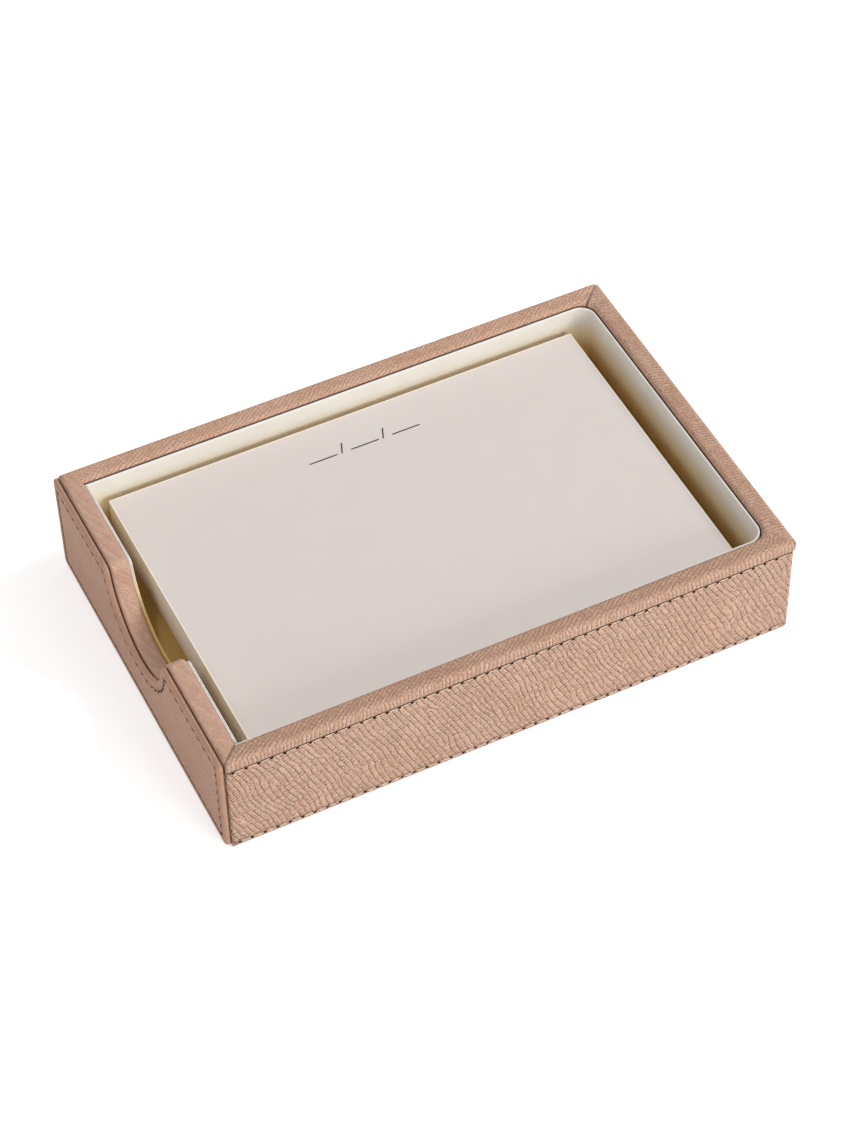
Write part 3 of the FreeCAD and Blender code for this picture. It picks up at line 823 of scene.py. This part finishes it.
def stitch_tree():
    """Geometry Nodes tree that sews a row of stitches along a path, each with a dark solid painting the shade
    of its needle hole.
    """
    sizes = ("Pitch", "Stitch length", "Thread width", "Thread height", "Hole length", "Hole width",
             "Hole height", "Hole step", "Hole drop")
    inputs = {"Path": "Geometry", **dict.fromkeys(sizes, "Float"), "Thread": "Material", "Hole": "Material"}
    tree, given = new_tree("stitch row", inputs)
    curve = add(tree, "GeometryNodeMeshToCurve", {}, {"Mesh": given["Path"]})
    spaced = add(tree, "GeometryNodeResampleCurve", {"mode": "LENGTH"},
                 {"Curve": curve, "Length": given["Pitch"]})
    out = add(tree, "GeometryNodeInputNamedAttribute", {"data_type": "FLOAT_VECTOR"}, {"Name": "out"})
    tangent = add(tree, "GeometryNodeInputTangent", {}, {})
    faced = add(tree, "FunctionNodeAlignRotationToVector", {"axis": "Z"}, {"Vector": out})
    along = add(tree, "FunctionNodeAlignRotationToVector", {"axis": "X", "pivot_axis": "Z"},
                {"Rotation": faced, "Vector": tangent})
    slant = add(tree, "FunctionNodeRandomValue", {"data_type": "FLOAT_VECTOR"},
                {0: (0, 0, 0.02), 1: (0, 0, 0.09), "Seed": 5})
    tilted = add(tree, "FunctionNodeRotateRotation", {"rotation_space": "LOCAL"}, {0: along, 1: slant})
    grain = add(tree, "GeometryNodeMeshUVSphere", {}, {"Segments": 8, "Rings": 6, "Radius": 0.5})
    long = add(tree, "ShaderNodeCombineXYZ", {},
               {"X": given["Thread height"], "Y": given["Thread width"], "Z": given["Stitch length"]})
    sized = add(tree, "GeometryNodeTransform", {}, {"Geometry": grain, "Scale": long})
    laid = add(tree, "GeometryNodeTransform", {}, {"Geometry": sized, "Rotation": (0, math.pi / 2, 0)})
    back = add(tree, "ShaderNodeVectorMath", {"operation": "SCALE"},
               {0: tangent, "Scale": given["Hole step"]})
    aside = add(tree, "ShaderNodeVectorMath", {"operation": "CROSS_PRODUCT"}, {0: out, 1: tangent})
    dropped = add(tree, "ShaderNodeVectorMath", {"operation": "SCALE"},
                  {0: aside, "Scale": given["Hole drop"]})
    to_hole = add(tree, "ShaderNodeVectorMath", {"operation": "SUBTRACT"}, {0: dropped, 1: back})
    moved = add(tree, "GeometryNodeSetPosition", {}, {"Geometry": spaced, "Offset": to_hole})
    pit = add(tree, "GeometryNodeMeshUVSphere", {}, {"Segments": 8, "Rings": 5, "Radius": 0.5})
    hole = add(tree, "ShaderNodeCombineXYZ", {},
               {"X": given["Hole length"], "Y": given["Hole width"], "Z": given["Hole height"]})
    slit = add(tree, "GeometryNodeTransform", {}, {"Geometry": pit, "Scale": hole})
    joined = tree.nodes.new("GeometryNodeJoinGeometry")
    for points, shape, turn, stuff in ((spaced, laid, tilted, "Thread"), (moved, slit, along, "Hole")):
        smooth = add(tree, "GeometryNodeSetShadeSmooth", {}, {"Geometry": shape})
        sewn = add(tree, "GeometryNodeInstanceOnPoints", {},
                   {"Points": points, "Instance": smooth, "Rotation": turn})
        real = add(tree, "GeometryNodeRealizeInstances", {}, {"Geometry": sewn})
        painted = add(tree, "GeometryNodeSetMaterial", {}, {"Geometry": real, "Material": given[stuff]})
        tree.links.new(painted.outputs[0], joined.inputs[0])
    add(tree, "NodeGroupOutput", {}, {0: joined})
    return tree


def grown(name, mesh, tree, values):
    """Plain mesh object of what a Geometry Nodes tree makes from a mesh, with its inputs by name."""
    start = new_object(name + "_path", mesh)
    modifier = start.modifiers.new(tree.name, "NODES")
    modifier.node_group = tree
    for item in tree.interface.items_tree:
        if item.in_out == "INPUT" and item.name in values:
            modifier[item.identifier] = values[item.name]
    bpy.context.view_layer.update()
    evaluated = start.evaluated_get(bpy.context.evaluated_depsgraph_get())
    made = bpy.data.meshes.new_from_object(evaluated)
    made.name = name
    bpy.data.objects.remove(start)
    return new_object(name, made)


pale_thread = thread_material("waxed polyester thread", "#DBBDA6", "#F1DAC7")
brown_thread = thread_material("brown waxed polyester thread", "#9A7154", "#C0957A")
hole_shade = hole_shade_material()
sewing = stitch_tree()


def sew(name, rows, sizes, thread):
    """Rows of stitches, each along points in millimetres with their outward directions, open or closed."""
    points, outs, edges = [], [], []
    for row_points, row_outs, closed in rows:
        first, count = len(points), len(row_points)
        edges += [(first + i, first + i + 1) for i in range(count - 1)]
        edges += [(first + count - 1, first)] if closed else []
        points += list(row_points)
        outs += list(row_outs)
    mesh = bpy.data.meshes.new(name + "_path")
    mesh.from_pydata((np.array(points) * MM).tolist(), edges, [])
    facing = mesh.attributes.new("out", "FLOAT_VECTOR", "POINT")
    facing.data.foreach_set("vector", np.array(outs, np.float32).ravel())
    values = {"Pitch": pitch, "Thread width": thread_wide, "Thread height": thread_high,
              "Hole height": hole_high}
    values = {key: size * MM for key, size in {**values, **sizes}.items()}
    return grown(name, mesh, sewing, {**values, "Thread": thread, "Hole": hole_shade})


thread_lift = 0.12
bed = groove_depth - thread_lift
row_end = 4.2
left_x, right_x = wrap_low[0] + row_end, wrap_high[0] - row_end
front_y, rear_y = wrap_low[1] + row_end, wrap_high[1] - row_end
seams = (("rim_stitches", "rim_seam_stitches", seam_z), ("foot_stitches", "base_seam_stitches", foot_z))
for name, node, z in seams:
    faces = [((left_x, wrap_low[1] + bed, z), (right_x, wrap_low[1] + bed, z), (0, -1, 0)),
             ((wrap_high[0] - bed, front_y, z), (wrap_high[0] - bed, rear_y, z), (1, 0, 0)),
             ((right_x, wrap_high[1] - bed, z), (left_x, wrap_high[1] - bed, z), (0, 1, 0))]
    rows = [([start, end], [out, out], False) for start, end, out in faces]
    fit(sew(name, rows, seam_stitch, pale_thread), "holder", "thread", node)
ring = panel_ring(panel_margin)
points = np.column_stack([np.full(len(ring), panel_low[0] + bed), ring])
outs = np.tile([-1.0, 0.0, 0.0], (len(ring), 1))
dashes = sew("panel_stitches", [(points, outs, True)], panel_stitch, brown_thread)
fit(dashes, "drawer", "thread", "end_panel_stitches")

# Drawer box: thin boards covered in cream paper, glued up behind the leather front, with a card
# lining on its bottom. It runs on the base board under the shelf.
box_ease = 0.25
card_ease = 0.2
# The covering paper is plain and matt, and the card a shade paler with a soft nap.
paper_cover = nap_material("cream covering paper", "#CDBFA6", "#DDD1BB", 0.8, 0.02, 0.0, [])
for name in ("drawer_front_side", "drawer_rear_side", "drawer_head", "drawer_back", "drawer_bottom"):
    low, high = box_mm(name)
    fit(slab(name.replace("drawer", "box"), low, high, 0, box_ease, paper_cover), "drawer", "board", name)
cream_card = nap_material("cream suede card", "#D2C8B2", "#E0D7C4", 0.35, 0.05, 0.1, [])
low, high = box_mm("drawer_lining")
fit(slab("box_lining", low, high, 0, card_ease, cream_card), "drawer", "lining", "drawer_lining")

# Note sheets: about a hundred loose sheets of uncoated paper, squared up by hand, so no two edges
# line up quite. The top sheet lies free on the rest.
stack_low, stack_high = box_mm("note_sheets")
sheet_count = 100
sheet_slip = 0.08
sheet_turn = 0.001
formation_mm = 9.0
tooth_mm = 0.3
tooth_depth = 0.01


def paper_material(name, dark, light, painted_light_bands):
    """Uncoated wove paper: warm white, matt, with a faint cloudy formation, and a painted highlight where an
    attribute marks the cut edges.
    """
    made, tree, shader = new_material(name, 0.9, 0.2)
    place = add(tree, "ShaderNodeTexCoord", {}, {}).outputs["Object"]
    clouds = add(tree, "ShaderNodeTexNoise", {},
                 {"Vector": place, "Scale": 1 / (formation_mm * MM), "Detail": 3.0})
    tooth = add(tree, "ShaderNodeTexNoise", {},
                {"Vector": place, "Scale": 1 / (tooth_mm * MM), "Detail": 2.0})
    white = painted_by_height(tree, place, two_tone(tree, clouds, dark, light), painted_light_bands)
    # Painted highlight: the marked cut edges are drawn towards a bright cream.
    edge = add(tree, "ShaderNodeAttribute", {"attribute_name": "painted_edge_highlight"}, {}).outputs["Fac"]
    both = add(tree, "ShaderNodeMix", {"data_type": "RGBA"}, {0: edge, 6: white, 7: linear("#FFF6E2")})
    surface(tree, shader, both.outputs[2], tooth, tooth_depth)
    return made


def stack_tree():
    """Geometry Nodes tree that piles up thin sheets, each slipped and turned a little from the last."""
    tree, given = new_tree("sheet pile", {
        "Start": "Geometry", "Sheets": "Int", "Low corner": "Vector", "High corner": "Vector",
        "Slip": "Float", "Edges": "Material", "Faces": "Material"})
    size = add(tree, "ShaderNodeVectorMath", {"operation": "SUBTRACT"},
               {0: given["High corner"], 1: given["Low corner"]})
    middle = add(tree, "ShaderNodeVectorMath", {"operation": "MULTIPLY_ADD"},
                 {0: size, 1: (0.5, 0.5, 0.0), 2: given["Low corner"]})
    one = add(tree, "ShaderNodeMath", {"operation": "DIVIDE"}, {0: 1.0, 1: given["Sheets"]})
    share = add(tree, "ShaderNodeCombineXYZ", {}, {"Z": one})
    step = add(tree, "ShaderNodeVectorMath", {"operation": "MULTIPLY"}, {0: size, 1: share})
    first = add(tree, "ShaderNodeVectorMath", {"operation": "MULTIPLY_ADD"},
                {0: step, 1: (0, 0, 0.5), 2: middle})
    pile = add(tree, "GeometryNodeMeshLine", {},
               {"Count": given["Sheets"], "Start Location": first, "Offset": step})
    slips = add(tree, "FunctionNodeRandomValue", {"data_type": "FLOAT_VECTOR"},
                {0: (-1, -1, 0), 1: (1, 1, 0), "Seed": 11})
    slipped = add(tree, "ShaderNodeVectorMath", {"operation": "SCALE"}, {0: slips, "Scale": given["Slip"]})
    placed = add(tree, "GeometryNodeSetPosition", {}, {"Geometry": pile, "Offset": slipped})
    turns = add(tree, "FunctionNodeRandomValue", {"data_type": "FLOAT_VECTOR"},
                {0: (0, 0, -sheet_turn), 1: (0, 0, sheet_turn), "Seed": 12})
    thin = add(tree, "ShaderNodeVectorMath", {"operation": "MULTIPLY_ADD"}, {0: size, 1: (1, 1, 0), 2: step})
    sheet = add(tree, "GeometryNodeMeshCube", {}, {"Size": thin})
    piled = add(tree, "GeometryNodeInstanceOnPoints", {},
                {"Points": placed, "Instance": sheet, "Rotation": turns})
    normal = add(tree, "GeometryNodeInputNormal", {}, {}).outputs["Normal"]
    upwards = add(tree, "ShaderNodeSeparateXYZ", {}, {"Vector": normal}).outputs["Z"]
    steep = add(tree, "ShaderNodeMath", {"operation": "ABSOLUTE"}, {0: upwards})
    level = add(tree, "FunctionNodeCompare", {"operation": "GREATER_THAN"}, {0: steep, 1: 0.5})
    real = add(tree, "GeometryNodeRealizeInstances", {}, {"Geometry": piled})
    cut = add(tree, "GeometryNodeSetMaterial", {}, {"Geometry": real, "Material": given["Edges"]})
    painted = add(tree, "GeometryNodeSetMaterial", {},
                  {"Geometry": cut, "Selection": level, "Material": given["Faces"]})
    add(tree, "NodeGroupOutput", {}, {0: painted})
    return tree


paper = paper_material("uncoated wove paper", "#DAD0CB", "#DED4CF", [])
# Painted light: the sheets' cut edges are drawn to a darker gold towards the bottom of the stack, as shade
# and light bounced from the tan floor.
sheet_edges = paper_material("cut edges of wove paper", "#E2CFAE", "#ECDCC2", [("#CBA66C", 27.0, 17.0)])
start = bpy.data.meshes.new("pile_start")
start.from_pydata([(0, 0, 0)], [], [])
pile_values = {"Sheets": sheet_count, "Slip": sheet_slip * MM, "Edges": sheet_edges, "Faces": paper,
               "Low corner": (stack_low * MM).tolist(), "High corner": (stack_high * MM).tolist()}
pile = grown("paper_stack", start, stack_tree(), pile_values)
fit(pile, "note_stack", "paper", "note_sheets")

# Top sheet: one sheet that lies free on the stack, with the faint wave of paper that has taken up
# moisture. A fine bright line is painted along its cut edges as a highlight.
top_low, top_high = box_mm("top_sheet")
sheet_wave = 0.06
wave_along = 31.0
wave_across = 23.0
painted_edge_highlight = 0.5
columns, rows = 60, 40
places = []
for low, high, count in zip(top_low, top_high, (columns, rows)):
    inner = np.linspace(low, high, count)[1:-1]
    places.append(np.concatenate([[low, low + painted_edge_highlight], inner, [high - painted_edge_highlight, high]]))
grid_x, grid_y = np.meshgrid(*places, indexing="ij")
wave = sheet_wave * np.sin(grid_x / wave_along + 1.0) * np.cos(grid_y / wave_across)
upper = np.stack([grid_x, grid_y, np.full_like(grid_x, top_high[2]) - sheet_wave + wave], axis=2)
lower = upper.copy()
lower[:, :, 2] = top_low[2]
loops = np.concatenate([upper, lower[:, ::-1]], axis=1)
# The border rows carry the painted edge highlight.
on_edge = np.zeros(grid_x.shape)
on_edge[[0, -1], :] = 1
on_edge[:, [0, -1]] = 1
edge_highlight_mask = np.concatenate([on_edge, on_edge[:, ::-1]], axis=1)
sheet = skin("loose_note", loops, loops[:, :, :2], edge_highlight_mask, paper)
sheet.data.attributes["seam"].name = "painted_edge_highlight"
fit(sheet, "loose_sheet", "paper", "top_sheet")

# Date rules: three short rules with two slashes between them, printed in black ink near the rear
# edge of the top sheet. They lie in the paper and go with it.
rule_long = 9.0
rule_gap = 4.5
rule_wide = 0.35
slash_long = 4.2
slash_lean = 68
slash_rise = 0.42
rule_y = 37.2
ink_lift = 0.03
speck_mm = 0.2
ink = bmesh.new()


def ink_material():
    """Printing ink: near-black, lying thinly in the paper, so it is matt and a little uneven."""
    made, tree, shader = new_material("black printing ink", 0.8, 0.2)
    place = add(tree, "ShaderNodeTexCoord", {}, {}).outputs["Object"]
    speck = add(tree, "ShaderNodeTexNoise", {},
                {"Vector": place, "Scale": 1 / (speck_mm * MM), "Detail": 2.0})
    tree.links.new(two_tone(tree, speck, "#1C1A1A", "#3A3634"), shader.inputs["Base Color"])
    return made


def print_rule(middle, length, angle):
    """Thin printed bar lying on the top sheet."""
    turned = Matrix.Rotation(angle, 4, "Z")
    placed = Matrix.Translation(Vector((middle[0], middle[1], top_high[2] + ink_lift / 2)) * MM)
    sized = Matrix.Diagonal((length * MM, rule_wide * MM, ink_lift * MM, 1.0))
    bmesh.ops.create_cube(ink, size=1.0, matrix=placed @ turned @ sized)


for k in (-1, 0, 1):
    print_rule((k * (rule_long + rule_gap), rule_y), rule_long, 0.0)
for k in (-0.5, 0.5):
    slash_y = rule_y + slash_long * slash_rise
    print_rule((k * (rule_long + rule_gap), slash_y), slash_long, math.radians(slash_lean))
mesh = bpy.data.meshes.new("date_rules")
ink.to_mesh(mesh)
ink.free()
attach(new_object("date_rules", mesh, ink_material()), "loose_sheet")

# Studio: a plain pale floor, an even sky and three soft lamps, with the camera at the photographed
# view. The floor glows a little to the eye alone, so that it is as white as the sky behind it.
scene = bpy.context.scene
floor_reach = 12.0
floor_drop = 0.0001
floor_glow = 0.5
sky_strength = 0.44
floor_mesh = bpy.data.meshes.new("studio_floor")
floor_plan = ((-1, -1), (1, -1), (1, 1), (-1, 1))
floor_corners = [(x * floor_reach, y * floor_reach, -floor_drop) for x, y in floor_plan]
floor_mesh.from_pydata(floor_corners, [], [(0, 1, 2, 3)])
pale, tree, shader = new_material("pale studio floor", 0.9, 0.1)
shader.inputs["Base Color"].default_value = linear("#EDEDED")
path = add(tree, "ShaderNodeLightPath", {}, {}).outputs
seen = add(tree, "ShaderNodeMath", {"operation": "ADD"}, {0: path["Is Camera Ray"], 1: path["Is Glossy Ray"]})
any_seen = add(tree, "ShaderNodeMath", {"operation": "ADD", "use_clamp": True},
               {0: seen, 1: path["Is Transmission Ray"]})
lit = add(tree, "ShaderNodeMath", {"operation": "MULTIPLY"}, {0: any_seen, 1: floor_glow})
glow = add(tree, "ShaderNodeEmission", {}, {"Color": linear("#FFFFFF"), "Strength": lit})
both = add(tree, "ShaderNodeAddShader", {}, {0: shader, 1: glow})
tree.links.new(both.outputs[0], tree.nodes["Material Output"].inputs["Surface"])
new_object("studio_floor", floor_mesh, pale)

sky = bpy.data.worlds.new("even sky")
sky.use_nodes = True
sky.node_tree.nodes["Background"].inputs["Color"].default_value = linear("#FFFFFF")
sky.node_tree.nodes["Background"].inputs["Strength"].default_value = sky_strength
scene.world = sky


def lamp(name, place, watts, size):
    """Square soft lamp at a place in metres, aimed at the object."""
    light = bpy.data.lights.new(name, "AREA")
    light.energy = watts
    light.size = size
    made = bpy.data.objects.new(name, light)
    made.location = place
    made.rotation_euler = (-Vector(place)).to_track_quat("-Z", "Y").to_euler()
    scene.collection.objects.link(made)


lamp("key_lamp", place=(1.40, -0.25, 1.32), watts=18.5, size=0.52)
lamp("front_lamp", place=(0.3, -1.2, 0.38), watts=7.4, size=0.5)
lamp("side_lamp", place=(-0.95, -0.2, 1.05), watts=3.2, size=0.6)

azimuth = math.radians(-25.106)
elevation = math.radians(48.526)
roll = math.radians(-1.5)
target = Vector((-1.57, -5.80, 18.5)) * MM
camera_away = 927.7 * MM
level = math.cos(elevation)
back = Vector((math.sin(azimuth) * level, -math.cos(azimuth) * level, math.sin(elevation)))
camera = bpy.data.cameras.new("camera")
camera.lens = 101.52
camera.sensor_width = 36.0
camera_object = bpy.data.objects.new("camera", camera)
turn = (-back).to_track_quat("-Z", "Y").to_matrix().to_4x4() @ Matrix.Rotation(roll, 4, "Z")
camera_object.matrix_world = Matrix.Translation(target + back * camera_away) @ turn
scene.collection.objects.link(camera_object)
scene.camera = camera_object
scene.view_settings.view_transform = "Standard"
